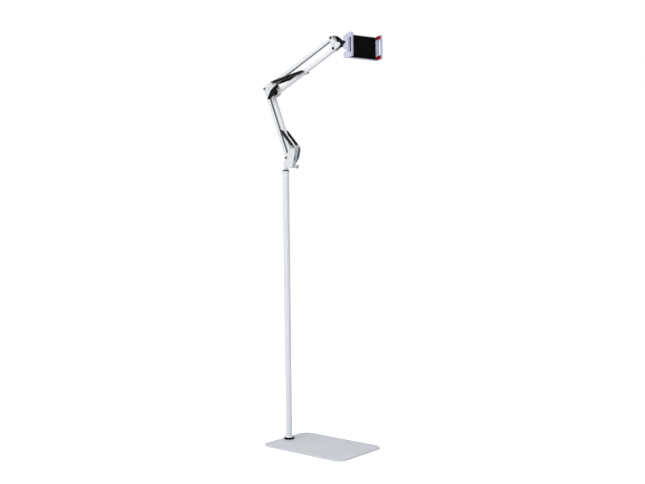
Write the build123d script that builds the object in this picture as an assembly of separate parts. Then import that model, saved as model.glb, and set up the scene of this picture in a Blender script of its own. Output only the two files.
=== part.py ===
from build123d import *
import os
from math import acos, cos, degrees, pi, radians, sin, sqrt, tan

# Adjustable tablet floor stand: a heavy plate, a pole in three sections, and a
# spring balanced arm of two parallelograms that carries a sprung tablet holder.
# Millimetres, Z up. Z = 0 is the underside of the floor pad, the pole's axis is
# the Z axis, +X is the side that the arm reaches over, and Y runs across the arm.
# The stand is drawn in the posture of the photograph.

# Fits between pieces
running_clearance = 0.05
sliding_clearance = 0.3
cut_overrun = 1.0

# Base plate and floor pad
plate_length = 350.0
plate_width = 230.0
plate_thickness = 5.0
plate_corner_radius = 34.0
plate_edge_round = 0.8
pole_inset = 26.0
pad_thickness = 1.0
pad_inset = 4.0

# Screw that holds the pole on the plate
base_screw_radius = 4.0
base_screw_length = 20.0
base_screw_head_radius = 8.0
base_screw_head_height = 4.0

# Pole sections and what joins them
pole_radius = 11.0
pole_wall = 1.2
pole_section_length = 311.0
pole_section_count = 3
pole_seam_chamfer = 0.4
coupling_length = 44.0
coupling_bore_radius = 5.0
foot_plug_length = 24.0
top_plug_length = 34.0

# Rings round the pole's foot and top
foot_collar_radius = 17.7
foot_collar_height = 7.0
foot_flare_radius = 14.6
foot_flare_height = 5.0
foot_flare_lip = 0.8
ring_round = 1.4
top_sleeve_radius = 12.0
top_sleeve_height = 7.0
top_sleeve_round = 0.8
top_ring_radius = 12.4
top_ring_height = 3.6
washer_radius = 9.6
washer_height = 2.6

# Vertical pivot of the arm
post_radius = 4.5
post_rise_in_block = 22.0
swivel_gap = 0.3
neck_radius = 6.4
neck_height = 4.5

# Bracket on the pivot: a block between two cheeks
link_half_width = 6.0
cheek_inside = 6.4
cheek_thickness = 1.8
cheek_edge_round = 0.5
block_front = 36.0
block_height = 25.0
cheek_back = 2.0
cheek_front = 38.0
cheek_corner_radius = 3.0
lower_pivot_x = 31.0
lower_pivot_rise = 40.0
rear_pivot_back = 21.0
rear_pivot_drop = 4.0
spring_pin_forward = 17.0
spring_pin_rise = 31.0
pivot_boss_radius = 8.0
pin_boss_radius = 6.0
rivet_radius = 2.5
rivet_head_radius = 3.8
rivet_head_height = 1.3
rivet_place_shares = ((0.36, 0.24), (0.82, 0.78))

# Screw that locks the vertical pivot
lock_screw_radius = 3.0
lock_screw_slope = 20.0
lock_screw_exit_x = 42.0
lock_screw_exit_drop = 6.0
lock_barrel_radius = 4.6
lock_barrel_length = 8.0
lock_cap_radius = 6.4
lock_cap_length = 4.2
lock_collar_radius = 5.4
lock_collar_length = 2.0

# Links of the two parallelograms
lower_arm_length = 270.0
lower_arm_lean = 21.7
upper_arm_length = 287.0
upper_arm_slope = 23.2
link_wall = 1.0
link_edge_round = 1.2
channel_wall = 1.2
channel_edge_round = 0.6
plug_length = 13.0
pivot_radius = 2.5
lower_cross_pin_place = 95.0
upper_cross_pin_place = 141.0

# Bolts and pins
bolt_head_radius = 4.6
bolt_head_height = 3.4
bolt_head_round = 0.8
nut_radius = 4.4
nut_height = 3.2
dome_radius = 5.0
dome_height = 1.4
pin_flange_radius = 3.6
pin_flange_thickness = 1.2
knob_bolt_radius = 3.0
hexagon_sides = 6

# Wing knobs
knob_washer_thickness = 1.2
knob_washer_radius = 7.5
knob_hub_radius = 10.5
knob_hub_top_radius = 8.5
knob_hub_height = 17.2
knob_span = 64.0
knob_wing_round = 1.6
knob_tip_radius = 3.6
knob_tip_drop = 2.6
knob_root_radius = 3.8
knob_leaf_tip_radius = 3.0
lower_knob_angle = 64.0
elbow_knob_angle = 45.0
head_knob_angle = -26.0

# Elbow: two plates that carry both parallelograms
elbow_main_forward = 33.0
elbow_main_drop = 24.0
elbow_top_back = 11.0
elbow_top_rise = 37.0
elbow_main_boss_radius = 11.0
elbow_corner_back = 25.0
elbow_corner_drop = 10.0
elbow_corner_radius = 6.5

# Head: two plates, the tilting knuckle and its ball
head_nose_forward = 22.0
head_nose_rise = 10.0
head_nose_radius = 6.5
head_boss_radius = 8.0
head_top_boss_radius = 7.0
head_waist_radius = 50.0
head_waist_depth = 4.5
knuckle_rise = 18.0
knuckle_hub_radius = 8.5
knuckle_reach = 56.0
knuckle_fall = 7.0
knuckle_nose_radius = 7.5
knuckle_heel_forward = 17.0
knuckle_heel_drop = 12.0
knuckle_heel_radius = 4.0
knuckle_edge_round = 1.0
ball_reach = 22.8
ball_fall = 11.5
ball_radius = 9.0
ball_neck_radius = 3.0
stud_shank_radius = 2.6
stud_shank_length = 11.0
stud_flange_radius = 5.2
stud_flange_thickness = 2.0

# Ball socket behind the holder
liner_thickness = 1.4
liner_gap = 0.05
socket_opening_angle = 63.0
socket_radius = 12.6
socket_base_thickness = 4.0
socket_spigot_radius = 5.0
socket_spigot_length = 11.0
swivel_screw_radius = 2.0
swivel_screw_head_radius = 5.6
swivel_screw_head_height = 2.0
ring_nut_radius = 15.4
ring_nut_height = 10.0
ring_nut_lobes = 12
ring_nut_groove_radius = 1.6

# Tablet holder
holder_turn_angle = -21.2
holder_opening = 103.0
holder_height = 75.0
holder_thickness = 8.0
holder_edge_round = 1.0
socket_offset_across = 10.0
tube_pitch = 27.0
tube_radius = 9.3
tube_depth = 22.0
rod_radius = 3.5
rod_back = 12.6
rod_engagement = 92.0
spring_bore_radius = 6.0
clamp_spring_radius = 5.4
clamp_spring_wire = 1.1
front_pad_height = 71.5
front_pad_thickness = 1.6
front_pad_proud = 0.3
front_pad_margin = 1.0
front_pad_corner_radius = 2.0
jaw_thickness = 6.4
jaw_height = 76.5
jaw_depth = 30.0
jaw_corner_radius = 4.0
jaw_edge_round = 1.0
window_height = 49.0
window_back = 10.0
window_front = 26.5
window_corner_radius = 2.0
jaw_pad_height = 12.6
jaw_pad_length = 28.0
jaw_pad_thickness = 1.6
jaw_pad_inlay = 0.8
jaw_pad_corner_radius = 1.6

# Balance springs
spring_wire_radius = 0.8
spring_offset = 13.7
spring_loop_gap = 0.35
lower_spring_curls = 14
upper_spring_curls = 28
hook_sweep_angle = 205.0
hook_lead_angle = 50.0
gap_samples_per_curl = 24

# Places worked out from the sizes above
plate_top = pad_thickness + plate_thickness
pole_top = plate_top + pole_section_count * pole_section_length
pole_bore_radius = pole_radius - pole_wall
ring_top = pole_top + top_ring_height
washer_top = ring_top + washer_height
neck_bottom = washer_top + swivel_gap
block_bottom = neck_bottom + neck_height
block_top = block_bottom + block_height
cheek_outside = cheek_inside + cheek_thickness
spring_outside = spring_offset + pin_flange_radius + spring_wire_radius + sliding_clearance
spring_loop_radius = pivot_radius + spring_loop_gap + spring_wire_radius

lower_pivot = Vector(lower_pivot_x, 0, block_bottom + lower_pivot_rise)
rear_pivot = lower_pivot + Vector(-rear_pivot_back, 0, -rear_pivot_drop)
bracket_pin = lower_pivot + Vector(spring_pin_forward, 0, spring_pin_rise)
lower_angle = 90 + lower_arm_lean


def along(length, angle):
    """The step of one length at an angle above +X, in the plane of the arm."""
    return Vector(length * cos(radians(angle)), 0, length * sin(radians(angle)))


lower_top = lower_pivot + along(lower_arm_length, lower_angle)
rear_top = rear_pivot + along(lower_arm_length, lower_angle)
elbow_main = lower_top + Vector(elbow_main_forward, 0, -elbow_main_drop)
elbow_top = elbow_main + Vector(-elbow_top_back, 0, elbow_top_rise)
head_main = elbow_main + along(upper_arm_length, upper_arm_slope)
head_top = elbow_top + along(upper_arm_length, upper_arm_slope)
tilt_pivot = head_main + Vector(0, 0, knuckle_rise)
knuckle_nose = tilt_pivot + Vector(knuckle_reach, 0, -knuckle_fall)
ball_centre = knuckle_nose + Vector(ball_reach, 0, -ball_fall)
lower_cross = lower_pivot + along(lower_cross_pin_place, lower_angle)
upper_cross = elbow_main + along(upper_cross_pin_place, upper_arm_slope)

ball_to_front = ball_radius + liner_thickness + socket_base_thickness + sliding_clearance + tube_depth
holder_normal = Vector(cos(radians(holder_turn_angle)), sin(radians(holder_turn_angle)), 0)
holder_across = Vector(-sin(radians(holder_turn_angle)), cos(radians(holder_turn_angle)), 0)
holder_centre = (ball_centre + holder_normal * ball_to_front + holder_across * socket_offset_across
                 - Vector(0, 0, tube_pitch / 2))
holder_plane = Plane(origin=holder_centre, x_dir=holder_across, z_dir=holder_normal)


# Helpers for shapes in the plane of the arm and across it

def slab(outline, y_low, y_high):
    """An outline drawn in X and Z, made solid between two places across the arm."""
    return extrude(Plane.XZ.offset(-y_high) * outline, amount=y_high - y_low)


def disc_at(place, radius):
    """A round outline at a place in the plane of the arm."""
    return Pos(place.X, place.Z) * Circle(radius)


def hull_of(*discs):
    """The outline of a band drawn tight round several discs."""
    edges = ShapeList()
    for disc in discs:
        edges += disc.edges()
    return make_hull(edges)


def cross_rod(place, radius, y_low, y_high):
    """A round bar across the arm."""
    return slab(disc_at(place, radius), y_low, y_high)


def hexagon_at(place, radius):
    """A hexagon round a place in the plane of the arm."""
    return Pos(place.X, place.Z) * RegularPolygon(radius, hexagon_sides)


def upright(radius, z_low, z_high):
    """A round bar on the pole's axis."""
    return Pos(0, 0, z_low) * Cylinder(radius, z_high - z_low, align=(Align.CENTER, Align.CENTER, Align.MIN))


def upright_tube(outer_radius, inner_radius, z_low, z_high):
    """A tube on the pole's axis."""
    bore = upright(inner_radius, z_low - cut_overrun, z_high + cut_overrun)
    return upright(outer_radius, z_low, z_high) - bore


def on_link(shape, place, angle):
    """A shape drawn along +X from its pivot, set at its pivot and angle."""
    return Location((place.X, 0, place.Z), (0, -angle, 0)) * shape


def write(name, shape):
    """One sub-part, written as its own file."""
    export_step(shape, f"parts/{name}.step")


# Base and pole

def base_outline(inset):
    """The plate's rounded rectangle, drawn in by an inset, about the pole."""
    middle = plate_length / 2 - pole_inset
    corner = plate_corner_radius - inset
    return Pos(middle, 0) * RectangleRounded(plate_length - 2 * inset, plate_width - 2 * inset, corner)


def floor_pad():
    return extrude(base_outline(pad_inset), amount=pad_thickness)


def base_plate():
    plate = Pos(0, 0, pad_thickness) * extrude(base_outline(0), amount=plate_thickness)
    plate = fillet(plate.edges().group_by(Axis.Z)[-1], plate_edge_round)
    hole = upright(base_screw_radius + running_clearance, 0, plate_top + cut_overrun)
    sink = Pos(0, 0, pad_thickness) * Cone(
        base_screw_head_radius + running_clearance, base_screw_radius + running_clearance,
        base_screw_head_height, align=(Align.CENTER, Align.CENTER, Align.MIN))
    return plate - hole - sink


def base_screw():
    head = Pos(0, 0, pad_thickness) * Cone(
        base_screw_head_radius, base_screw_radius, base_screw_head_height,
        align=(Align.CENTER, Align.CENTER, Align.MIN))
    return head + upright(base_screw_radius, pad_thickness, pad_thickness + base_screw_length)


def pole_foot_plug():
    bore = base_screw_radius + running_clearance
    return upright_tube(pole_bore_radius, bore, plate_top, plate_top + foot_plug_length)


def pole_section(index):
    low = plate_top + index * pole_section_length
    tube = upright_tube(pole_radius, pole_bore_radius, low, low + pole_section_length)
    rims = tube.edges().filter_by(GeomType.CIRCLE).group_by(SortBy.RADIUS)[-1]
    return chamfer(rims, pole_seam_chamfer)


def pole_coupling(index):
    middle = plate_top + index * pole_section_length
    half = coupling_length / 2
    return upright_tube(pole_bore_radius, coupling_bore_radius, middle - half, middle + half)


def foot_collar():
    bore = pole_radius + running_clearance
    collar = upright_tube(foot_collar_radius, bore, plate_top, plate_top + foot_collar_height)
    rim = collar.edges().filter_by(GeomType.CIRCLE).group_by(SortBy.RADIUS)[-1]
    return fillet(rim, ring_round)


def foot_flare():
    low = plate_top + foot_collar_height
    cone = Pos(0, 0, low) * Cone(
        foot_flare_radius, pole_radius + foot_flare_lip, foot_flare_height,
        align=(Align.CENTER, Align.CENTER, Align.MIN))
    return cone - upright(pole_radius + running_clearance, low - cut_overrun, low + foot_flare_height + cut_overrun)


def pole_top_plug():
    bore = post_radius + running_clearance
    return upright_tube(pole_bore_radius, bore, pole_top - top_plug_length, pole_top)


def pole_top_sleeve():
    """The thick rim that is one with the pole's upper section."""
    sleeve = upright_tube(top_sleeve_radius, pole_radius, pole_top - top_sleeve_height, pole_top)
    rims = sleeve.edges().filter_by(GeomType.CIRCLE).group_by(SortBy.RADIUS)[-1]
    return chamfer(rims.group_by(Axis.Z)[0], top_sleeve_round)


def pole_top_ring():
    bore = post_radius + running_clearance
    ring = upright_tube(top_ring_radius, bore, pole_top, ring_top)
    rims = ring.edges().filter_by(GeomType.CIRCLE).group_by(SortBy.RADIUS)[-1]
    return fillet(rims, ring_round)


def pivot_washer():
    return upright_tube(washer_radius, post_radius + running_clearance, ring_top, washer_top)


def pivot_post():
    return upright(post_radius, pole_top - top_plug_length, block_bottom + post_rise_in_block)


# Bracket that turns on the post

def lock_screw_line():
    """The point where the locking screw's axis leaves the block, and its direction."""
    place = Vector(lock_screw_exit_x, 0, block_bottom + lock_screw_exit_drop)
    return place, along(1, -lock_screw_slope)


def lock_screw_bar(radius, from_exit, to_exit):
    """A round bar on the locking screw's axis, placed from where it leaves the block."""
    place, way = lock_screw_line()
    frame = Plane(origin=place + way * from_exit, z_dir=way)
    return frame * Cylinder(radius, to_exit - from_exit, align=(Align.CENTER, Align.CENTER, Align.MIN))


def lock_screw_tip():
    """How far the screw's end lies from the exit point, with its edge against the post."""
    side = lock_screw_radius * sin(radians(lock_screw_slope))
    return -(lock_screw_exit_x - post_radius - sliding_clearance - side) / cos(radians(lock_screw_slope))


def rivet_places():
    """The two rivets through the block and the cheeks."""
    places = []
    for forward_share, rise_share in rivet_place_shares:
        places.append(Vector(block_front * forward_share, 0, block_bottom + block_height * rise_share))
    return places


def swivel_block():
    rear = Circle(cheek_inside)
    front = Pos(block_front / 2, 0) * Rectangle(block_front, 2 * cheek_inside)
    block = Pos(0, 0, block_bottom) * extrude(rear + front, amount=block_height)
    block += upright(neck_radius, neck_bottom, block_bottom)
    block -= upright(post_radius + running_clearance, neck_bottom - cut_overrun,
                     block_bottom + post_rise_in_block + sliding_clearance)
    block -= lock_screw_bar(lock_screw_radius + running_clearance, lock_screw_tip() - cut_overrun, block_front)
    for place in rivet_places():
        block -= cross_rod(place, rivet_radius, -link_half_width - cut_overrun, link_half_width + cut_overrun)
    return block


def cheek_outline():
    width = cheek_front - cheek_back
    middle = Vector((cheek_back + cheek_front) / 2, block_bottom + block_height / 2)
    foot = Pos(middle.X, middle.Y) * RectangleRounded(width, block_height, cheek_corner_radius)
    return hull_of(foot, disc_at(rear_pivot, pivot_boss_radius), disc_at(lower_pivot, pivot_boss_radius),
                   disc_at(bracket_pin, pin_boss_radius))


def flat_plate(outline, side, holes):
    """A cheek or plate on one side of the arm, with its holes as (place, radius)."""
    if side < 0:
        low, high = -cheek_outside, -cheek_inside
    else:
        low, high = cheek_inside, cheek_outside
    plate = slab(outline, low, high)
    outer = plate.faces().sort_by(Axis.Y)[0 if side < 0 else -1]
    plate = fillet(outer.edges(), cheek_edge_round)
    for place, radius in holes:
        plate -= cross_rod(place, radius, low - cut_overrun, high + cut_overrun)
    return plate


def bracket_cheek(side):
    holes = [(rear_pivot, pivot_radius), (lower_pivot, knob_bolt_radius), (bracket_pin, pivot_radius)]
    for place in rivet_places():
        holes.append((place, rivet_radius))
    return flat_plate(cheek_outline(), side, holes)


def rivet(place, shank_radius, head_radius):
    """A rivet through both plates, with a low head on each side."""
    body = cross_rod(place, shank_radius, -cheek_outside, cheek_outside)
    head = cross_rod(place, head_radius, -cheek_outside - rivet_head_height, -cheek_outside)
    rim = head.edges().filter_by(GeomType.CIRCLE).sort_by(Axis.Y)[0]
    head = fillet(rim, rivet_head_height / 2)
    return body + head + mirror(head, about=Plane.XZ)


def bracket_rivets():
    return Compound(children=[rivet(place, rivet_radius, rivet_head_radius) for place in rivet_places()])


def hexagon_bolt(place):
    """A bolt across the arm: rounded hexagon head on the near side, nut on the far side."""
    shank = cross_rod(place, pivot_radius, -cheek_outside, cheek_outside)
    nut = slab(hexagon_at(place, nut_radius), cheek_outside, cheek_outside + nut_height)
    return shank + near_hexagon(place) + nut


def knob_shank(place, knob_side):
    """A wing knob's bolt and washer: from the plate on one side into the knob on the other."""
    reach = cheek_outside + knob_washer_thickness + knob_hub_height / 2
    ends = sorted((-knob_side * cheek_outside, knob_side * reach))
    shank = cross_rod(place, knob_bolt_radius, ends[0], ends[1])
    washer_ends = sorted((knob_side * cheek_outside, knob_side * (cheek_outside + knob_washer_thickness)))
    return shank + cross_rod(place, knob_washer_radius, washer_ends[0], washer_ends[1])


def dome_knob_bolt(place, knob_side):
    """A coach bolt for a wing knob, with a low dome on the side away from it."""
    head_ends = sorted((-knob_side * cheek_outside, -knob_side * (cheek_outside + dome_height)))
    head = cross_rod(place, dome_radius, head_ends[0], head_ends[1])
    rims = head.edges().filter_by(GeomType.CIRCLE).sort_by(Axis.Y)
    head = fillet(rims[-1] if knob_side < 0 else rims[0], dome_height * 2 / 3)
    return knob_shank(place, knob_side) + head


def near_hexagon(place):
    """A hexagon head with rounded corners on the near plate."""
    low = -cheek_outside - bolt_head_height
    head = slab(hexagon_at(place, bolt_head_radius), low, -cheek_outside)
    return head & slab(disc_at(place, bolt_head_radius - bolt_head_round / 2), low, -cheek_outside)


def spring_pin(place, side):
    """A stub pin riveted into one cheek, with a flange that keeps the spring on."""
    ends = sorted((side * cheek_inside, side * spring_outside))
    pin = cross_rod(place, pivot_radius, ends[0], ends[1])
    rim_ends = sorted((side * (spring_outside - pin_flange_thickness), side * spring_outside))
    return pin + cross_rod(place, pin_flange_radius, rim_ends[0], rim_ends[1])


def bracket_spring_pins():
    return Compound(children=[spring_pin(bracket_pin, -1), spring_pin(bracket_pin, 1)])


def through_pin(place):
    """A pin right through the arm that holds a spring on each side."""
    pin = cross_rod(place, pivot_radius, -spring_outside, spring_outside)
    for side in (-1, 1):
        rim_ends = sorted((side * (spring_outside - pin_flange_thickness), side * spring_outside))
        pin += cross_rod(place, pin_flange_radius, rim_ends[0], rim_ends[1])
    return pin


def lock_screw():
    barrel_start = lock_collar_length
    barrel_end = barrel_start + lock_barrel_length
    cap_end = barrel_end + lock_cap_length
    screw = lock_screw_bar(lock_screw_radius, lock_screw_tip(), barrel_end)
    screw += lock_screw_bar(lock_collar_radius, 0, barrel_start)
    screw += lock_screw_bar(lock_barrel_radius, barrel_start, barrel_end)
    screw += lock_screw_bar(lock_cap_radius, barrel_end, cap_end)
    return screw


# Wing knobs

def wing_profile():
    """One wing from the side, X along the wing and Y away from the arm."""
    tip = Pos(knob_span / 2 - knob_tip_radius, knob_hub_height - knob_tip_drop) * Circle(knob_tip_radius)
    root = Pos(0, knob_hub_height - knob_root_radius) * Circle(knob_root_radius)
    return make_hull(tip.edges() + root.edges())


def wing_leaf():
    """Both wings from the front: a leaf that is as wide as the hub and narrows to its tips."""
    tip_place = knob_span / 2 - knob_leaf_tip_radius
    edges = Circle(knob_hub_radius).edges()
    for place in (-tip_place, tip_place):
        edges += (Pos(place, 0) * Circle(knob_leaf_tip_radius)).edges()
    return make_hull(edges)


def wing_knob(place, side, turn):
    """A moulded wing knob on one side of the arm, turned about its bolt."""
    profile = wing_profile()
    wings = extrude(profile, amount=knob_hub_radius + cut_overrun, both=True)
    wings += mirror(wings, about=Plane.YZ)
    wings &= slab(wing_leaf(), 0, knob_hub_height + knob_tip_radius)
    curves = wings.edges().filter_by(GeomType.LINE, reverse=True)
    middle_height = knob_hub_height - knob_root_radius
    outer = [edge for edge in curves if edge.center().Y > middle_height]
    wings = fillet(outer, knob_wing_round)
    knob = wings + Rot(-90, 0, 0) * Cone(knob_hub_radius, knob_hub_top_radius, knob_hub_height,
                                         align=(Align.CENTER, Align.CENTER, Align.MIN))
    bolt_end = knob_hub_height / 2 + sliding_clearance
    knob -= Rot(-90, 0, 0) * Cylinder(knob_bolt_radius + running_clearance, bolt_end,
                                      align=(Align.CENTER, Align.CENTER, Align.MIN))
    if side < 0:
        knob = Rot(0, 0, 180) * knob
    base = side * (cheek_outside + knob_washer_thickness)
    return Location((place.X, base, place.Z)) * Rot(0, -turn, 0) * knob


# Links

def link_outline(length):
    """The side of a link: straight, with a round end about each pivot."""
    ends = Pos(length / 2, 0) * SlotCenterToCenter(length, 2 * link_half_width)
    return ends


def square_link(length, pin_place):
    """A square tube that runs pivot to pivot, along +X from the first one."""
    tube = slab(link_outline(length), -link_half_width, link_half_width)
    faces = tube.faces().filter_by(Axis.Y)
    tube = fillet(faces[0].edges() + faces[1].edges(), link_edge_round)
    bore = 2 * (link_half_width - link_wall)
    tube -= Pos(length / 2, 0, 0) * Box(length + 2 * link_half_width + 2 * cut_overrun, bore, bore)
    for place in (Vector(0, 0, 0), Vector(pin_place, 0, 0), Vector(length, 0, 0)):
        radius = pivot_radius if place.X == pin_place else pivot_radius + running_clearance
        tube -= cross_rod(place, radius, -link_half_width - cut_overrun, link_half_width + cut_overrun)
    return tube


def link_plugs(length, first_radius, last_radius):
    """The plastic plugs that fill the square tube's two ends round the pivots."""
    bore = 2 * (link_half_width - link_wall)
    core = slab(link_outline(length), -bore / 2, bore / 2)
    core &= Pos(length / 2, 0, 0) * Box(length + 2 * link_half_width, bore, bore)
    plugs = []
    for middle, hole in ((0, first_radius), (length, last_radius)):
        piece = core & Pos(middle, 0, 0) * Box(2 * plug_length, bore, bore)
        piece -= cross_rod(Vector(middle, 0, 0), hole + running_clearance, -bore, bore)
        plugs.append(piece)
    return plugs


def channel_link(length):
    """A folded channel, open towards the square tube, with round ends on its flanges."""
    channel = slab(link_outline(length), -link_half_width, link_half_width)
    faces = channel.faces().filter_by(Axis.Y)
    channel = fillet(faces[0].edges() + faces[1].edges(), channel_edge_round)
    inside = link_half_width - channel_wall
    hollow_length = length + 2 * link_half_width + 2 * cut_overrun
    hollow_height = 2 * link_half_width - channel_wall + cut_overrun
    hollow_middle = link_half_width - channel_wall - hollow_height / 2
    channel -= Pos(length / 2, 0, hollow_middle) * Box(hollow_length, 2 * inside, hollow_height)
    for place in (Vector(0, 0, 0), Vector(length, 0, 0)):
        channel -= cross_rod(place, pivot_radius + running_clearance,
                             -link_half_width - cut_overrun, link_half_width + cut_overrun)
    return channel


def with_knob_hole(link, place):
    """Opens a link's pivot hole to the size of a wing knob's bolt."""
    return link - cross_rod(place, knob_bolt_radius + running_clearance,
                            -link_half_width - cut_overrun, link_half_width + cut_overrun)


def lower_arm_tube():
    link = with_knob_hole(square_link(lower_arm_length, lower_cross_pin_place), Vector(0, 0, 0))
    return on_link(link, lower_pivot, lower_angle)


def lower_arm_plugs():
    plugs = link_plugs(lower_arm_length, knob_bolt_radius, pivot_radius)
    return Compound(children=[on_link(plug, lower_pivot, lower_angle) for plug in plugs])


def upper_arm_tube():
    link = with_knob_hole(square_link(upper_arm_length, upper_cross_pin_place), Vector(0, 0, 0))
    return on_link(link, elbow_main, upper_arm_slope)


def upper_arm_plugs():
    plugs = link_plugs(upper_arm_length, knob_bolt_radius, pivot_radius)
    return Compound(children=[on_link(plug, elbow_main, upper_arm_slope) for plug in plugs])


# Elbow and head plates

def elbow_outline():
    corner = elbow_main + Vector(-elbow_corner_back, 0, -elbow_corner_drop)
    return hull_of(disc_at(rear_top, pivot_boss_radius), disc_at(elbow_top, pivot_boss_radius),
                   disc_at(elbow_main, elbow_main_boss_radius), disc_at(corner, elbow_corner_radius))


def elbow_plate(side):
    holes = [(rear_top, pivot_radius), (lower_top, pivot_radius), (elbow_top, pivot_radius),
             (elbow_main, knob_bolt_radius)]
    return flat_plate(elbow_outline(), side, holes)


def head_outline():
    """Three bosses in one band, drawn in a little between the top pivot and the nose."""
    nose = head_main + Vector(head_nose_forward, 0, head_nose_rise)
    band = hull_of(disc_at(head_main, head_boss_radius), disc_at(head_top, head_top_boss_radius),
                   disc_at(nose, head_nose_radius))
    outward = Vector(head_top.Z - nose.Z, 0, nose.X - head_top.X).normalized()
    edge = (head_top + nose) * 0.5 + outward * (head_top_boss_radius + head_nose_radius) / 2
    waist = edge + outward * (head_waist_radius - head_waist_depth)
    return band - disc_at(waist, head_waist_radius)


def head_plate(side):
    holes = [(head_main, pivot_radius), (head_top, knob_bolt_radius), (tilt_pivot, knob_bolt_radius)]
    return flat_plate(head_outline(), side, holes)


def tilt_knuckle():
    heel = tilt_pivot + Vector(knuckle_heel_forward, 0, -knuckle_heel_drop)
    outline = hull_of(disc_at(tilt_pivot, knuckle_hub_radius), disc_at(knuckle_nose, knuckle_nose_radius),
                      disc_at(heel, knuckle_heel_radius))
    body = slab(outline, -link_half_width, link_half_width)
    faces = body.faces().filter_by(Axis.Y)
    body = fillet(faces[0].edges() + faces[1].edges(), knuckle_edge_round)
    body -= cross_rod(tilt_pivot, knob_bolt_radius + running_clearance,
                      -link_half_width - cut_overrun, link_half_width + cut_overrun)
    body -= stud_bar(stud_shank_radius, -stud_shank_length - running_clearance, knuckle_nose_radius + cut_overrun)
    flat = Plane(origin=knuckle_nose + stud_way() * stud_seat(), z_dir=stud_way())
    face_cut = flat * Cylinder(stud_flange_radius + running_clearance, knuckle_nose_radius,
                               align=(Align.CENTER, Align.CENTER, Align.MIN))
    return body - face_cut


def stud_way():
    """The direction from the knuckle's nose to the ball."""
    return (ball_centre - knuckle_nose).normalized()


def stud_seat():
    """How far from the nose's centre the stud's flange sits."""
    return sqrt(knuckle_nose_radius ** 2 - stud_flange_radius ** 2) - knuckle_edge_round


def stud_bar(radius, start, end):
    """A round bar on the stud's axis, measured from the nose's centre."""
    frame = Plane(origin=knuckle_nose + stud_way() * start, z_dir=stud_way())
    return frame * Cylinder(radius, end - start, align=(Align.CENTER, Align.CENTER, Align.MIN))


def ball_stud():
    seat = stud_seat()
    reach = (ball_centre - knuckle_nose).length
    stud = stud_bar(stud_shank_radius, -stud_shank_length, seat)
    stud += stud_bar(stud_flange_radius, seat, seat + stud_flange_thickness)
    stud += stud_bar(ball_neck_radius, seat, reach)
    return stud + Pos(ball_centre.X, 0, ball_centre.Z) * Sphere(ball_radius)


# Socket behind the holder, drawn about the ball with Z towards the user

socket_plane = Plane(origin=ball_centre, x_dir=holder_across, z_dir=holder_normal)
liner_inner_radius = ball_radius + liner_gap
liner_outer_radius = liner_inner_radius + liner_thickness
socket_bore_radius = liner_outer_radius + liner_gap
socket_front = ball_to_front - tube_depth - sliding_clearance


def opening_cone(clear_angle):
    """The cone about the ball that the stud's neck needs, as a solid to cut away."""
    depth = socket_bore_radius * 2
    return Rot(180, 0, 0) * Cone(0, depth * tan(radians(clear_angle)), depth,
                                 align=(Align.CENTER, Align.CENTER, Align.MIN))


def ball_liner():
    shell = Sphere(liner_outer_radius) - Sphere(liner_inner_radius)
    return socket_plane * (shell - opening_cone(socket_opening_angle))


def rim_depth():
    """How far behind the ball's centre the socket's rim lies."""
    return liner_outer_radius * cos(radians(socket_opening_angle))


def ball_socket():
    cup = Pos(0, 0, -rim_depth()) * Cylinder(
        socket_radius, rim_depth() + socket_front, align=(Align.CENTER, Align.CENTER, Align.MIN))
    cup -= Sphere(socket_bore_radius)
    cup -= opening_cone(socket_opening_angle)
    cup += Pos(0, 0, socket_front) * Cylinder(
        socket_spigot_radius, socket_spigot_length, align=(Align.CENTER, Align.CENTER, Align.MIN))
    cup -= Pos(0, 0, socket_front + socket_spigot_length / 2) * Cylinder(
        swivel_screw_radius, socket_spigot_length, align=(Align.CENTER, Align.CENTER, Align.MIN))
    return socket_plane * cup


def swivel_screw():
    start = socket_front + socket_spigot_length / 2
    head_start = socket_front + socket_spigot_length
    screw = Pos(0, 0, start) * Cylinder(
        swivel_screw_radius, head_start - start, align=(Align.CENTER, Align.CENTER, Align.MIN))
    screw += Pos(0, 0, head_start) * Cylinder(
        swivel_screw_head_radius, swivel_screw_head_height,
        align=(Align.CENTER, Align.CENTER, Align.MIN))
    return socket_plane * screw


def ring_nut():
    low = -rim_depth()
    nut = Pos(0, 0, low) * Cylinder(ring_nut_radius, ring_nut_height,
                                    align=(Align.CENTER, Align.CENTER, Align.MIN))
    nut = fillet(nut.edges().filter_by(GeomType.CIRCLE), cheek_edge_round)
    nut -= Pos(0, 0, low - cut_overrun) * Cylinder(
        socket_radius + running_clearance, ring_nut_height + 2 * cut_overrun,
        align=(Align.CENTER, Align.CENTER, Align.MIN))
    groove = Pos(ring_nut_radius + ring_nut_groove_radius / 2, 0, low - cut_overrun) * Cylinder(
        ring_nut_groove_radius, ring_nut_height + 2 * cut_overrun,
        align=(Align.CENTER, Align.CENTER, Align.MIN))
    for index in range(ring_nut_lobes):
        nut -= Rot(0, 0, index * 360 / ring_nut_lobes) * groove
    return socket_plane * nut


# Tablet holder, drawn with X across, Y up and Z towards the user from the front face

half_opening = holder_opening / 2


def tube_heights():
    """The guide tubes above and below, and the spring's tube between them."""
    return (tube_pitch, 0, -tube_pitch)


def across_bar(radius, height, back, x_low, x_high):
    """A round bar along the holder's width."""
    frame = Plane(origin=(x_low, height, -back), z_dir=(1, 0, 0))
    return frame * Cylinder(radius, x_high - x_low, align=(Align.CENTER, Align.CENTER, Align.MIN))


def block_between(x_low, x_high, y_low, y_high, z_low, z_high):
    """A box in the holder's frame, by its limits."""
    middle = ((x_low + x_high) / 2, (y_low + y_high) / 2, (z_low + z_high) / 2)
    return Pos(*middle) * Box(x_high - x_low, y_high - y_low, z_high - z_low)


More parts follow.
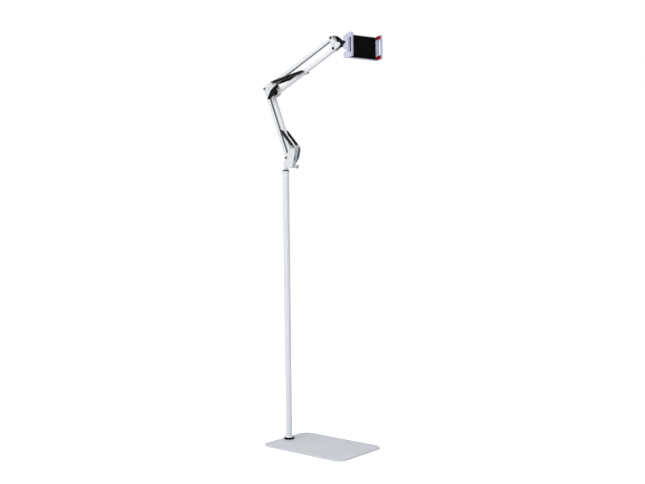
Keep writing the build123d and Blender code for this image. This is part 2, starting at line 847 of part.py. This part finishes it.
def holder_housing():
    left = -half_opening - jaw_thickness
    body = block_between(left, half_opening, -holder_height / 2, holder_height / 2, -holder_thickness, 0)
    body = fillet(body.edges().filter_by(Axis.X), holder_edge_round)
    for height in tube_heights():
        body += across_bar(tube_radius, height, tube_depth - tube_radius, left, half_opening)
    seat_x = -socket_offset_across
    seat_y = tube_pitch / 2
    body += Pos(seat_x, seat_y, -tube_depth) * Cylinder(
        socket_radius, tube_depth - holder_thickness, align=(Align.CENTER, Align.CENTER, Align.MIN))
    for height in (tube_pitch, -tube_pitch):
        body -= across_bar(rod_radius + running_clearance, height, rod_back,
                           half_opening - rod_engagement - cut_overrun, half_opening + cut_overrun)
    body -= across_bar(spring_bore_radius, 0, rod_back,
                       half_opening - rod_engagement, half_opening + cut_overrun)
    spigot_end = socket_spigot_length + sliding_clearance
    body -= Pos(seat_x, seat_y, -tube_depth - cut_overrun) * Cylinder(
        socket_spigot_radius + running_clearance, spigot_end + cut_overrun,
        align=(Align.CENTER, Align.CENTER, Align.MIN))
    head_room = swivel_screw_head_radius + sliding_clearance
    body -= Pos(seat_x, seat_y, -tube_depth + socket_spigot_length - sliding_clearance) * Cylinder(
        head_room, tube_depth, align=(Align.CENTER, Align.CENTER, Align.MIN))
    recess = front_pad_thickness - front_pad_proud
    body -= block_between(-half_opening + front_pad_margin, half_opening - front_pad_margin,
                          -front_pad_height / 2, front_pad_height / 2, -recess, cut_overrun)
    return holder_plane * body


def holder_pad():
    pad = block_between(-half_opening + front_pad_margin, half_opening - front_pad_margin,
                        -front_pad_height / 2, front_pad_height / 2,
                        front_pad_proud - front_pad_thickness, front_pad_proud)
    return holder_plane * pad


def jaw_outline():
    """A jaw's side, drawn in depth and height, with its window."""
    middle = jaw_depth / 2
    side = Pos(middle, 0) * RectangleRounded(jaw_depth, jaw_height, jaw_corner_radius)
    window_middle = (window_back + window_front) / 2
    window = Pos(window_middle, 0) * RectangleRounded(window_front - window_back, window_height,
                                                      window_corner_radius)
    return side - window


def jaw_plate(inner_x, side):
    """A jaw standing out of the front, its inner face at inner_x and its outer face beyond it."""
    frame = Plane(origin=(inner_x, 0, 0), x_dir=(0, 0, 1), z_dir=(side, 0, 0))
    plate = extrude(frame * jaw_outline(), amount=jaw_thickness)
    return plate


def pad_block(inner_x, side, end):
    """One rubber pad on a jaw's inner face, at its upper (+1) or lower (-1) end."""
    middle_y = end * (jaw_height - jaw_pad_height) / 2
    low = inner_x - side * (jaw_pad_thickness - jaw_pad_inlay)
    high = inner_x + side * jaw_pad_inlay
    x_low, x_high = min(low, high), max(low, high)
    return block_between(x_low, x_high, middle_y - jaw_pad_height / 2 + front_pad_margin,
                         middle_y + jaw_pad_height / 2 - front_pad_margin,
                         (jaw_depth - jaw_pad_length) / 2, (jaw_depth + jaw_pad_length) / 2)


def jaw_with_recesses(inner_x, side):
    jaw = jaw_plate(inner_x, side)
    for end in (-1, 1):
        jaw -= pad_block(inner_x, side, end)
    return jaw


def fixed_jaw():
    return holder_plane * jaw_with_recesses(-half_opening, -1)


def jaw_pads(inner_x, side):
    return Compound(children=[holder_plane * pad_block(inner_x, side, end) for end in (-1, 1)])


def sliding_jaw():
    jaw = jaw_with_recesses(half_opening, 1)
    low = half_opening + sliding_clearance
    high = half_opening + jaw_thickness
    carriage = block_between(low, high, -holder_height / 2, holder_height / 2, -holder_thickness, 0)
    for height in tube_heights():
        carriage += across_bar(tube_radius, height, tube_depth - tube_radius, low, high)
    jaw += carriage
    for height in (tube_pitch, -tube_pitch):
        jaw -= across_bar(rod_radius, height, rod_back, low - cut_overrun, high - jaw_thickness / 3)
    return holder_plane * jaw


def guide_rods():
    rods = []
    for height in (tube_pitch, -tube_pitch):
        rods.append(holder_plane * across_bar(rod_radius, height, rod_back, half_opening - rod_engagement,
                                              half_opening + jaw_thickness * 2 / 3))
    return Compound(children=rods)


def clamp_spring():
    x_low = half_opening - rod_engagement
    x_high = half_opening + sliding_clearance
    tube = across_bar(clamp_spring_radius, 0, rod_back, x_low, x_high)
    tube -= across_bar(clamp_spring_radius - clamp_spring_wire, 0, rod_back,
                       x_low - cut_overrun, x_high + cut_overrun)
    return holder_plane * tube


# Balance springs

def helix_point(angle, start, pitch):
    """A point on the spring's centre line, at an angle from its first curl."""
    turn = angle - radians(hook_lead_angle)
    return Vector(start + pitch * turn / (2 * pi), spring_loop_radius * sin(angle), spring_loop_radius * cos(angle))


def helix_way(angle, pitch):
    """The direction of the centre line there."""
    return Vector(pitch / (2 * pi), spring_loop_radius * cos(angle), -spring_loop_radius * sin(angle)).normalized()


def biarc(start, start_way, end, end_way):
    """Two arcs that join two places and keep the direction at both."""
    chord = end - start
    both = start_way + end_way
    spread = 2 * (1 - start_way.dot(end_way))
    along_both = chord.dot(both)
    reach = (sqrt(along_both ** 2 + spread * chord.dot(chord)) - along_both) / spread
    middle = (start + start_way * reach + end - end_way * reach) * 0.5
    first = TangentArc(start, middle, tangent=start_way)
    second = TangentArc(middle, end, tangent=first % 1)
    return [first, second]


def hook_arc(centre, first_angle, last_angle):
    """A hook round a pin, in the plane of the arm."""
    places = []
    for share in (0, 0.5, 1):
        angle = radians(first_angle + (last_angle - first_angle) * share)
        places.append(centre + Vector(spring_loop_radius * sin(angle), 0, spring_loop_radius * cos(angle)))
    return ThreePointArc(*places)


def spring_edges(length, curls):
    """The centre line of a spring whose hooks go round two pins this far apart."""
    lead = spring_loop_radius + 2 * spring_wire_radius
    first = radians(hook_lead_angle)
    last = 2 * pi * curls - first
    pitch = (length - 2 * lead) / ((last - first) / (2 * pi))
    top_of_first = Vector(0, 0, spring_loop_radius)
    top_of_last = Vector(length, 0, spring_loop_radius)
    forward = Vector(1, 0, 0)
    half_sweep = hook_sweep_angle / 2
    edges = [hook_arc(Vector(0, 0, 0), -hook_sweep_angle, -half_sweep), hook_arc(Vector(0, 0, 0), -half_sweep, 0)]
    edges += biarc(top_of_first, forward, helix_point(first, lead, pitch), helix_way(first, pitch))
    steps = 2 * curls
    for step in range(steps):
        low = first + (last - first) * step / steps
        high = first + (last - first) * (step + 1) / steps
        edges += biarc(helix_point(low, lead, pitch), helix_way(low, pitch),
                       helix_point(high, lead, pitch), helix_way(high, pitch))
    edges += biarc(helix_point(last, lead, pitch), helix_way(last, pitch), top_of_last, forward)
    edges += [hook_arc(Vector(length, 0, 0), 0, half_sweep), hook_arc(Vector(length, 0, 0), half_sweep, hook_sweep_angle)]
    return edges


def least_gap(path, curls):
    """The least gap between the wire and itself, measured on points along the spring."""
    count = gap_samples_per_curl * (curls + 2)
    points = [path @ (index / count) for index in range(count + 1)]
    apart = gap_samples_per_curl // 2
    least = min((points[i] - points[j]).length
                for i in range(len(points)) for j in range(i + apart, len(points)))
    return least - 2 * spring_wire_radius


def balance_spring(length, curls, name):
    path = Wire(spring_edges(length, curls))
    section = Plane(origin=path @ 0, z_dir=path % 0) * Circle(spring_wire_radius)
    spring = sweep(section, path=path)
    print(f"{name}: {curls} curls, least gap to itself {least_gap(path, curls):.2f} mm")
    return spring


def spring_pair(first_pin, last_pin, curls, name):
    """The same spring on both sides of the arm, hooked from one pin to the other."""
    span = last_pin - first_pin
    angle = degrees(acos(span.X / span.length))
    spring = on_link(balance_spring(span.length, curls, name), first_pin, angle)
    return Compound(children=[Pos(0, -spring_offset, 0) * spring, Pos(0, spring_offset, 0) * spring])


# All sub-parts

def build_all():
    write("floor_pad", floor_pad())
    write("base_plate", base_plate())
    write("base_screw", base_screw())
    write("foot_collar", foot_collar())
    write("foot_flare", foot_flare())
    write("pole_foot_plug", pole_foot_plug())
    write("pole_lower", pole_section(0))
    write("pole_middle", pole_section(1))
    write("pole_upper", pole_section(2) + pole_top_sleeve())
    write("pole_couplings", Compound(children=[pole_coupling(1), pole_coupling(2)]))
    write("pole_top_plug", pole_top_plug())
    write("pole_top_ring", pole_top_ring())
    write("pivot_washer", pivot_washer())
    write("pivot_post", pivot_post())

    write("swivel_block", swivel_block())
    write("bracket_cheek_near", bracket_cheek(-1))
    write("bracket_cheek_far", bracket_cheek(1))
    write("bracket_rivets", bracket_rivets())
    write("bracket_bolt", hexagon_bolt(rear_pivot))
    write("lower_knob_bolt", dome_knob_bolt(lower_pivot, 1))
    write("bracket_spring_pins", bracket_spring_pins())
    write("lock_screw", lock_screw())
    write("lower_knob", wing_knob(lower_pivot, 1, lower_knob_angle))

    write("lower_arm_tube", lower_arm_tube())
    write("lower_arm_plugs", lower_arm_plugs())
    write("lower_cross_pin", through_pin(lower_cross))
    write("lower_rear_link", on_link(channel_link(lower_arm_length), rear_pivot, lower_angle))
    write("lower_springs", spring_pair(bracket_pin, lower_cross, lower_spring_curls, "lower springs"))

    write("elbow_plate_near", elbow_plate(-1))
    write("elbow_plate_far", elbow_plate(1))
    write("elbow_rear_bolt", hexagon_bolt(rear_top))
    write("elbow_rivet", rivet(lower_top, pivot_radius, rivet_head_radius))
    write("elbow_spring_bolt", through_pin(elbow_top))
    write("elbow_knob_bolt", dome_knob_bolt(elbow_main, -1))
    write("elbow_knob", wing_knob(elbow_main, -1, elbow_knob_angle))

    write("upper_arm_tube", upper_arm_tube())
    write("upper_arm_plugs", upper_arm_plugs())
    write("upper_cross_pin", through_pin(upper_cross))
    top_link = with_knob_hole(channel_link(upper_arm_length), Vector(upper_arm_length, 0, 0))
    write("upper_top_link", on_link(top_link, elbow_top, upper_arm_slope))
    write("upper_springs", spring_pair(elbow_top, upper_cross, upper_spring_curls, "upper springs"))

    write("head_plate_near", head_plate(-1))
    write("head_plate_far", head_plate(1))
    write("head_bolt", hexagon_bolt(head_main))
    write("tilt_rivet", rivet(tilt_pivot, knob_bolt_radius, dome_radius))
    write("head_knob_bolt", knob_shank(head_top, 1) + near_hexagon(head_top))
    write("head_knob", wing_knob(head_top, 1, head_knob_angle))
    write("tilt_knuckle", tilt_knuckle())
    write("ball_stud", ball_stud())

    write("ball_liner", ball_liner())
    write("ball_socket", ball_socket())
    write("swivel_screw", swivel_screw())
    write("ring_nut", ring_nut())
    write("holder_housing", holder_housing())
    write("holder_pad", holder_pad())
    write("fixed_jaw", fixed_jaw())
    write("fixed_jaw_pads", jaw_pads(-half_opening, -1))
    write("sliding_jaw", sliding_jaw())
    write("sliding_jaw_pads", jaw_pads(half_opening, 1))
    write("guide_rods", guide_rods())
    write("clamp_spring", clamp_spring())


os.makedirs("parts", exist_ok=True)
build_all()
for label, place in (("lower pivot", lower_pivot), ("rear pivot", rear_pivot), ("lower top", lower_top),
                     ("rear top", rear_top), ("elbow main", elbow_main), ("elbow top", elbow_top),
                     ("head main", head_main), ("head top", head_top), ("tilt pivot", tilt_pivot),
                     ("knuckle nose", knuckle_nose), ("ball centre", ball_centre), ("holder centre", holder_centre)):
    print(f"{label}: {place.X:.3f} {place.Y:.3f} {place.Z:.3f}")
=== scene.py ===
from math import cos, pi, radians, sin

import bmesh
import bpy
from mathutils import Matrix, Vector


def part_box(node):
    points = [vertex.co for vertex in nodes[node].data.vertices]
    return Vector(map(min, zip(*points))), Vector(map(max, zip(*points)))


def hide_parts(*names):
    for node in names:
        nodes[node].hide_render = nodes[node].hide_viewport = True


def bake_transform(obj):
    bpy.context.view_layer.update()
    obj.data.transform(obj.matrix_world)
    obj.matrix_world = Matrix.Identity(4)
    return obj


# Adjustable tablet floor stand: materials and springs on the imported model, and the stage
# that it stands on. Everything is in metres, in the frame of the CAD.

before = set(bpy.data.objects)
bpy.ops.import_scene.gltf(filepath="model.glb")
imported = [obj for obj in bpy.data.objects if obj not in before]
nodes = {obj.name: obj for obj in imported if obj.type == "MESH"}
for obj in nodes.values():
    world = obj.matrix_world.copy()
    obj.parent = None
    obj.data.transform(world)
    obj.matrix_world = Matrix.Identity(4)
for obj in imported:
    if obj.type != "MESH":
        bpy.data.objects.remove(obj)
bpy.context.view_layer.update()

# Camera, with its turn in degrees and its lens and sensor in millimetres
camera_place = (1.946014, -2.100662, 0.706008)
camera_turn = (89.70612, 0.7137, 40.31037)
camera_lens = 45.767
camera_sensor = 36.0
camera_reach = 100

# Floor
floor_size = 60
floor_tone = 0.8
floor_glow = 0.66

# Light
fill_strength = 0.5
key_power = 60.0
key_size = 2.6
key_place = (-0.6, -3.2, 2.9)
key_target = (0.1, 0, 1.0)
top_power = 24.0
top_size = 2.0
top_place = (0.2, -0.4, 3.4)
top_target = (0.1, 0, 0.8)
strip_power = 8.0
strip_width = 0.10
strip_height = 2.4
strip_places = ((0.55, -2.9, 0.9), (2.6, -0.9, 0.9))

# Shares of the noise at which the two tones of a colour are reached
low_tone_at = 0.3
high_tone_at = 0.7

# Paint
paint_coat_roughness = 0.08
paint_drift_scale = 9
paint_drift_detail = 3
paint_roughness_below = 0.05
paint_roughness_above = 0.07
peel_scale = 1400
peel_detail = 2
peel_strength = 0.03
peel_height = 0.0001

# Metal
metal_grain_scale = 900
metal_grain_detail = 3
metal_roughness_below = 0.06
metal_roughness_above = 0.1
metal_grain_strength = 0.05
metal_grain_height = 0.0001

# Plastic and rubber
plastic_coat_roughness = 0.06
plastic_drift_scale = 30
plastic_drift_detail = 3
plastic_roughness_below = 0.04
plastic_roughness_above = 0.08
plastic_grain_scale = 2600
plastic_grain_detail = 2
plastic_grain_strength = 0.12
plastic_grain_height = 0.0002
rubber_grain_scale = 1500
rubber_grain_strength = 0.2

# Foam
foam_sheen = 0.08
foam_pore_scale = 900
foam_pore_strength = 0.35
foam_pore_height = 0.0004
foam_drift_scale = 60
foam_drift_detail = 4
foam_low_roughness = 0.75
foam_high_roughness = 0.95

# Painted shade: dark colour painted into the gaps inside the folded links and under the tubes
painted_shade_reach = 0.012
painted_shade_samples = 12
painted_shade_tone = (0.012, 0.012, 0.014)
painted_shade_dark_at = 0.25
painted_shade_clear_at = 0.62

# Springs
wire_radius = 0.0009
spring_radius = 0.0043
spring_offset = 0.0137
pin_radius = 0.0025
hook_gap = 0.0004
hook_degrees = 200
hook_steps = 14
lower_spring_curls = 32
upper_spring_curls = 60
points_per_curl = 14
points_left_to_hook = 3
tube_sides = 8


# Materials

def new_material(name):
    """A material with a bare Principled shader, its node tree and the shader."""
    material = bpy.data.materials.new(name)
    material.use_nodes = True
    tree = material.node_tree
    shader = tree.nodes["Principled BSDF"]
    return material, tree, shader


def add_noise(tree, scale, detail):
    """A noise texture on the object's own coordinates."""
    coordinates = tree.nodes.new("ShaderNodeTexCoord")
    noise = tree.nodes.new("ShaderNodeTexNoise")
    noise.inputs["Scale"].default_value = scale
    noise.inputs["Detail"].default_value = detail
    tree.links.new(coordinates.outputs["Object"], noise.inputs["Vector"])
    return noise


def vary_colour(tree, shader, noise, low, high):
    """The base colour runs between two tones with the noise."""
    ramp = tree.nodes.new("ShaderNodeValToRGB")
    first, second = ramp.color_ramp.elements
    first.position = low_tone_at
    first.color = (*low, 1)
    second.position = high_tone_at
    second.color = (*high, 1)
    tree.links.new(noise.outputs["Fac"], ramp.inputs["Fac"])
    tree.links.new(ramp.outputs["Color"], shader.inputs["Base Color"])


def vary_roughness(tree, shader, noise, low, high):
    """The roughness runs between two values with the noise."""
    spread = tree.nodes.new("ShaderNodeMapRange")
    spread.inputs["To Min"].default_value = low
    spread.inputs["To Max"].default_value = high
    tree.links.new(noise.outputs["Fac"], spread.inputs["Value"])
    tree.links.new(spread.outputs["Result"], shader.inputs["Roughness"])


def add_bump(tree, shader, height, strength, distance):
    """A bump from a height output."""
    bump = tree.nodes.new("ShaderNodeBump")
    bump.inputs["Strength"].default_value = strength
    bump.inputs["Distance"].default_value = distance
    tree.links.new(height, bump.inputs["Height"])
    tree.links.new(bump.outputs["Normal"], shader.inputs["Normal"])


def add_painted_gap_shade(material):
    """Painted shade: the material's colour darkens in narrow gaps and open channels, where shade
    falls.
    """
    tree = material.node_tree
    shader = tree.nodes["Principled BSDF"]
    shade_occlusion = tree.nodes.new("ShaderNodeAmbientOcclusion")
    shade_occlusion.inputs["Distance"].default_value = painted_shade_reach
    shade_occlusion.samples = painted_shade_samples
    shade = tree.nodes.new("ShaderNodeMapRange")
    shade.inputs["From Min"].default_value = painted_shade_dark_at
    shade.inputs["From Max"].default_value = painted_shade_clear_at
    shade.inputs["To Min"].default_value = 0
    shade.inputs["To Max"].default_value = 1
    mix = tree.nodes.new("ShaderNodeMix")
    mix.data_type = "RGBA"
    # The dark tone of the painted shade
    mix.inputs["A"].default_value = (*painted_shade_tone, 1)
    colour = shader.inputs["Base Color"].links[0].from_socket
    tree.links.new(shade_occlusion.outputs["AO"], shade.inputs["Value"])
    tree.links.new(shade.outputs["Result"], mix.inputs["Factor"])
    tree.links.new(colour, mix.inputs["B"])
    tree.links.new(mix.outputs["Result"], shader.inputs["Base Color"])


def paint(name, low, high, roughness, coat):
    """Powder coat: a faint orange peel, and a tone and gloss that drift a little."""
    material, tree, shader = new_material(name)
    shader.inputs["Coat Weight"].default_value = coat
    shader.inputs["Coat Roughness"].default_value = paint_coat_roughness
    drift = add_noise(tree, paint_drift_scale, paint_drift_detail)
    vary_colour(tree, shader, drift, low, high)
    vary_roughness(tree, shader, drift, roughness - paint_roughness_below,
                   roughness + paint_roughness_above)
    peel = add_noise(tree, peel_scale, peel_detail)
    add_bump(tree, shader, peel.outputs["Fac"], peel_strength, peel_height)
    return material


def metal(name, low, high, roughness):
    """Plated or drawn metal with a fine grain."""
    material, tree, shader = new_material(name)
    shader.inputs["Metallic"].default_value = 1
    grain = add_noise(tree, metal_grain_scale, metal_grain_detail)
    vary_colour(tree, shader, grain, low, high)
    vary_roughness(tree, shader, grain, roughness - metal_roughness_below,
                   roughness + metal_roughness_above)
    add_bump(tree, shader, grain.outputs["Fac"], metal_grain_strength, metal_grain_height)
    return material


def plastic(name, low, high, roughness, grain_scale=plastic_grain_scale,
            grain_strength=plastic_grain_strength, coat=0.0, sheen=0.5):
    """Moulded plastic or rubber: a fine spark-eroded grain and slightly uneven gloss."""
    material, tree, shader = new_material(name)
    shader.inputs["Specular IOR Level"].default_value = sheen
    shader.inputs["Coat Weight"].default_value = coat
    shader.inputs["Coat Roughness"].default_value = plastic_coat_roughness
    drift = add_noise(tree, plastic_drift_scale, plastic_drift_detail)
    vary_colour(tree, shader, drift, low, high)
    vary_roughness(tree, shader, drift, roughness - plastic_roughness_below,
                   roughness + plastic_roughness_above)
    grain = add_noise(tree, grain_scale, plastic_grain_detail)
    add_bump(tree, shader, grain.outputs["Fac"], grain_strength, plastic_grain_height)
    return material


def foam(name, low, high):
    """Closed-cell foam: matt, with small pores."""
    material, tree, shader = new_material(name)
    shader.inputs["Specular IOR Level"].default_value = foam_sheen
    coordinates = tree.nodes.new("ShaderNodeTexCoord")
    pores = tree.nodes.new("ShaderNodeTexVoronoi")
    pores.inputs["Scale"].default_value = foam_pore_scale
    tree.links.new(coordinates.outputs["Object"], pores.inputs["Vector"])
    drift = add_noise(tree, foam_drift_scale, foam_drift_detail)
    vary_colour(tree, shader, drift, low, high)
    vary_roughness(tree, shader, drift, foam_low_roughness, foam_high_roughness)
    add_bump(tree, shader, pores.outputs["Distance"], foam_pore_strength, foam_pore_height)
    return material


# Each material has its darker and its lighter tone, and its middle roughness

white_paint = paint("white_paint", (0.71, 0.735, 0.76), (0.76, 0.785, 0.81), 0.34, coat=0.25)
link_paint = paint("link_paint", (0.74, 0.76, 0.79), (0.79, 0.81, 0.84), 0.34, coat=0.25)
pole_paint = paint("pole_paint", (0.75, 0.775, 0.82), (0.79, 0.815, 0.86), 0.3, coat=0.6)
plate_paint = paint("plate_paint", (0.64, 0.665, 0.715), (0.68, 0.705, 0.75), 0.4, coat=0.2)
steel = metal("steel", (0.55, 0.55, 0.57), (0.72, 0.72, 0.74), 0.28)
dark_steel = metal("dark_steel", (0.020, 0.020, 0.021), (0.05, 0.05, 0.052), 0.42)
dull_steel = metal("dull_steel", (0.22, 0.22, 0.225), (0.32, 0.32, 0.33), 0.4)
spring_black = plastic("spring_black", (0.003, 0.003, 0.003), (0.007, 0.007, 0.007), 0.3,
                       coat=0.1, sheen=0.25)
black_gloss = plastic("black_gloss", (0.002, 0.002, 0.0025), (0.005, 0.005, 0.006), 0.42,
                      coat=0.02, sheen=0.1)
black_matt = plastic("black_matt", (0.006, 0.006, 0.006), (0.012, 0.012, 0.012), 0.6, sheen=0.2)
slate_plastic = plastic("slate_plastic", (0.10, 0.13, 0.17), (0.13, 0.165, 0.21), 0.4, sheen=0.3)
grey_plastic = plastic("grey_plastic", (0.42, 0.43, 0.45), (0.50, 0.51, 0.53), 0.4)
holder_plastic = plastic("holder_plastic", (0.56, 0.58, 0.76), (0.60, 0.62, 0.79), 0.3, coat=0.3)
red_rubber = plastic("red_rubber", (0.24, 0.003, 0.005), (0.32, 0.005, 0.008), 0.6,
                     rubber_grain_scale, rubber_grain_strength, sheen=0.12)
floor_rubber = plastic("floor_rubber", (0.02, 0.02, 0.02), (0.04, 0.04, 0.04), 0.7)
pad_foam = foam("pad_foam", (0.0015, 0.0015, 0.0015), (0.0035, 0.0035, 0.0035))

node_materials = {
    plate_paint: ("base_plate",),
    pole_paint: ("pole_lower", "pole_middle", "pole_upper", "foot_flare"),
    white_paint: ("swivel_block", "bracket_cheek_near", "bracket_cheek_far", "elbow_plate_near",
                  "elbow_plate_far", "head_plate_near", "head_plate_far", "bracket_rivets",
                  "elbow_rivet", "tilt_rivet", "lower_knob_bolt"),
    link_paint: ("lower_arm_tube", "lower_rear_link", "upper_arm_tube", "upper_top_link"),
    steel: ("base_screw", "pole_couplings", "pivot_post", "bracket_spring_pins", "lock_screw",
            "elbow_knob_bolt", "ball_stud", "swivel_screw", "guide_rods", "clamp_spring"),
    dull_steel: ("bracket_bolt", "elbow_rear_bolt", "elbow_spring_bolt"),
    dark_steel: ("head_bolt", "head_knob_bolt", "lower_cross_pin", "upper_cross_pin"),
    spring_black: ("lower_springs", "upper_springs"),
    slate_plastic: ("lower_knob",),
    black_gloss: ("foot_collar", "pole_top_ring", "elbow_knob", "head_knob", "tilt_knuckle",
                  "ball_socket", "ring_nut"),
    black_matt: ("pole_foot_plug", "pole_top_plug", "lower_arm_plugs", "upper_arm_plugs"),
    grey_plastic: ("pivot_washer", "ball_liner"),
    holder_plastic: ("holder_housing", "fixed_jaw", "sliding_jaw"),
    red_rubber: ("fixed_jaw_pads", "sliding_jaw_pads"),
    floor_rubber: ("floor_pad",),
    pad_foam: ("holder_pad",),
}


def dress_nodes():
    """Every CAD node gets its material."""
    for material, names in node_materials.items():
        for name in names:
            node = nodes[name]
            node.data.materials.clear()
            node.data.materials.append(material)


# Springs

def tube_mesh(name, points, radius):
    """A round tube along points, with a frame that turns as little as it can."""
    mesh = bpy.data.meshes.new(name)
    build = bmesh.new()
    count = len(points)
    tangents = []
    for index in range(count):
        before = points[max(index - 1, 0)]
        after = points[min(index + 1, count - 1)]
        tangents.append((after - before).normalized())
    normal = tangents[0].orthogonal().normalized()
    rings = []
    for point, tangent in zip(points, tangents):
        normal = (normal - tangent * normal.dot(tangent)).normalized()
        side = tangent.cross(normal)
        ring = []
        for step in range(tube_sides):
            angle = 2 * pi * step / tube_sides
            ring.append(build.verts.new(point + (normal * cos(angle) + side * sin(angle)) * radius))
        rings.append(ring)
    for first, second in zip(rings, rings[1:]):
        for step in range(tube_sides):
            following = (step + 1) % tube_sides
            build.faces.new((first[step], first[following], second[following], second[step]))
    build.faces.new(reversed(rings[0]))
    build.faces.new(rings[-1])
    for face in build.faces:
        face.smooth = True
    build.to_mesh(mesh)
    build.free()
    piece = bpy.data.objects.new(name, mesh)
    bpy.context.scene.collection.objects.link(piece)
    return piece


def spring_points(first, last, curls):
    """The centre line of a spring hooked from one pin to another, in the plane of the arm."""
    span = last - first
    length = span.length
    forward = span.normalized()
    across = Vector((0, 1, 0))
    upward = across.cross(forward) * -1
    loop = pin_radius + hook_gap + wire_radius
    lead = loop + 2 * wire_radius
    points = []
    for step in range(hook_steps + 1):
        angle = radians(-hook_degrees + hook_degrees * step / hook_steps)
        points.append(first + (forward * sin(angle) + upward * cos(angle)) * loop)
    steps = curls * points_per_curl
    for step in range(points_left_to_hook, steps - points_left_to_hook + 1):
        angle = 2 * pi * step / points_per_curl
        along = lead + (length - 2 * lead) * step / steps
        ease = min(1, step / points_per_curl, (steps - step) / points_per_curl)
        radius = loop + (spring_radius - loop) * ease
        points.append(first + forward * along + (across * sin(angle) + upward * cos(angle)) * radius)
    for step in range(hook_steps + 1):
        angle = radians(hook_degrees * step / hook_steps)
        points.append(last + (forward * sin(angle) + upward * cos(angle)) * loop)
    return points


def flat_middle(name):
    """The middle of a node's box, moved to the arm's plane."""
    low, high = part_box(name)
    place = (Vector(low) + Vector(high)) / 2
    place.y = 0
    return place


def build_springs():
    """Four springs, each hooked on its own two pins."""
    pairs = (
        ("lower_spring", "lower_springs", "bracket_spring_pins", "lower_cross_pin",
         lower_spring_curls, "bracket", "lower_arm"),
        ("upper_spring", "upper_springs", "elbow_spring_bolt", "upper_cross_pin",
         upper_spring_curls, "elbow", "upper_arm"),
    )
    for name, node, first_pin, last_pin, curls, body, far_body in pairs:
        first = flat_middle(first_pin)
        last = flat_middle(last_pin)
        for label, side in (("near", -1), ("far", 1)):
            offset = Vector((0, side * spring_offset, 0))
            points = [point + offset for point in spring_points(first, last, curls)]
            piece = tube_mesh(f"{name}_{label}", points, wire_radius)
            piece.data.materials.append(spring_black)
            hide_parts(node)
            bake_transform(piece)


# Stage

def stage_floor():
    """A pale floor that keeps the object's shadow and shows white to the camera."""
    bpy.ops.mesh.primitive_plane_add(size=floor_size, location=(0, 0, 0))
    floor = bpy.context.object
    floor.name = "floor"
    material = bpy.data.materials.new("floor_white")
    material.use_nodes = True
    tree = material.node_tree
    tree.nodes.clear()
    output = tree.nodes.new("ShaderNodeOutputMaterial")
    matt = tree.nodes.new("ShaderNodeBsdfDiffuse")
    matt.inputs["Color"].default_value = (floor_tone, floor_tone, floor_tone, 1)
    glow = tree.nodes.new("ShaderNodeEmission")
    rays = tree.nodes.new("ShaderNodeLightPath")
    seen = tree.nodes.new("ShaderNodeMath")
    seen.operation = "MULTIPLY"
    seen.inputs[1].default_value = floor_glow
    both = tree.nodes.new("ShaderNodeAddShader")
    tree.links.new(rays.outputs["Is Camera Ray"], seen.inputs[0])
    tree.links.new(seen.outputs["Value"], glow.inputs["Strength"])
    tree.links.new(matt.outputs["BSDF"], both.inputs[0])
    tree.links.new(glow.outputs["Emission"], both.inputs[1])
    tree.links.new(both.outputs["Shader"], output.inputs["Surface"])
    floor.data.materials.append(material)


def light_world():
    """Plain studio light: white where it is seen, softer where it lights."""
    world = bpy.data.worlds.new("studio")
    bpy.context.scene.world = world
    world.use_nodes = True
    tree = world.node_tree
    background = tree.nodes["Background"]
    background.inputs["Color"].default_value = (1, 1, 1, 1)
    rays = tree.nodes.new("ShaderNodeLightPath")
    strength = tree.nodes.new("ShaderNodeMapRange")
    strength.inputs["To Min"].default_value = fill_strength
    strength.inputs["To Max"].default_value = 1
    tree.links.new(rays.outputs["Is Camera Ray"], strength.inputs["Value"])
    tree.links.new(strength.outputs["Result"], background.inputs["Strength"])


def add_lamp(name, place, target, power, width, height):
    """A soft rectangular lamp that looks at a target."""
    lamp = bpy.data.lights.new(name, "AREA")
    lamp.energy = power
    lamp.shape = "RECTANGLE"
    lamp.size = width
    lamp.size_y = height
    piece = bpy.data.objects.new(name, lamp)
    piece.location = place
    way = Vector(target) - Vector(place)
    piece.rotation_euler = way.to_track_quat("-Z", "Y").to_euler()
    bpy.context.scene.collection.objects.link(piece)


def add_lamps():
    """A key lamp, a top lamp, and two tall strips that draw bright lines down the glossy pole."""
    add_lamp("key", key_place, key_target, key_power, key_size, key_size)
    add_lamp("top", top_place, top_target, top_power, top_size, top_size)
    for index, place in enumerate(strip_places):
        level_target = (0, 0, place[2])
        add_lamp(f"strip_{index}", place, level_target, strip_power, strip_width, strip_height)


def add_camera():
    """The camera at the photograph's place and angle."""
    data = bpy.data.cameras.new("camera")
    data.lens = camera_lens
    data.sensor_width = camera_sensor
    data.sensor_fit = "HORIZONTAL"
    data.clip_end = camera_reach
    camera = bpy.data.objects.new("camera", data)
    camera.location = camera_place
    camera.rotation_euler = [radians(angle) for angle in camera_turn]
    bpy.context.scene.collection.objects.link(camera)
    bpy.context.scene.camera = camera


add_camera()
# Painted shade in the gaps of the link and tube paint
add_painted_gap_shade(link_paint)
dress_nodes()
build_springs()
stage_floor()
light_world()
add_lamps()
bpy.context.scene.view_settings.view_transform = "Standard"
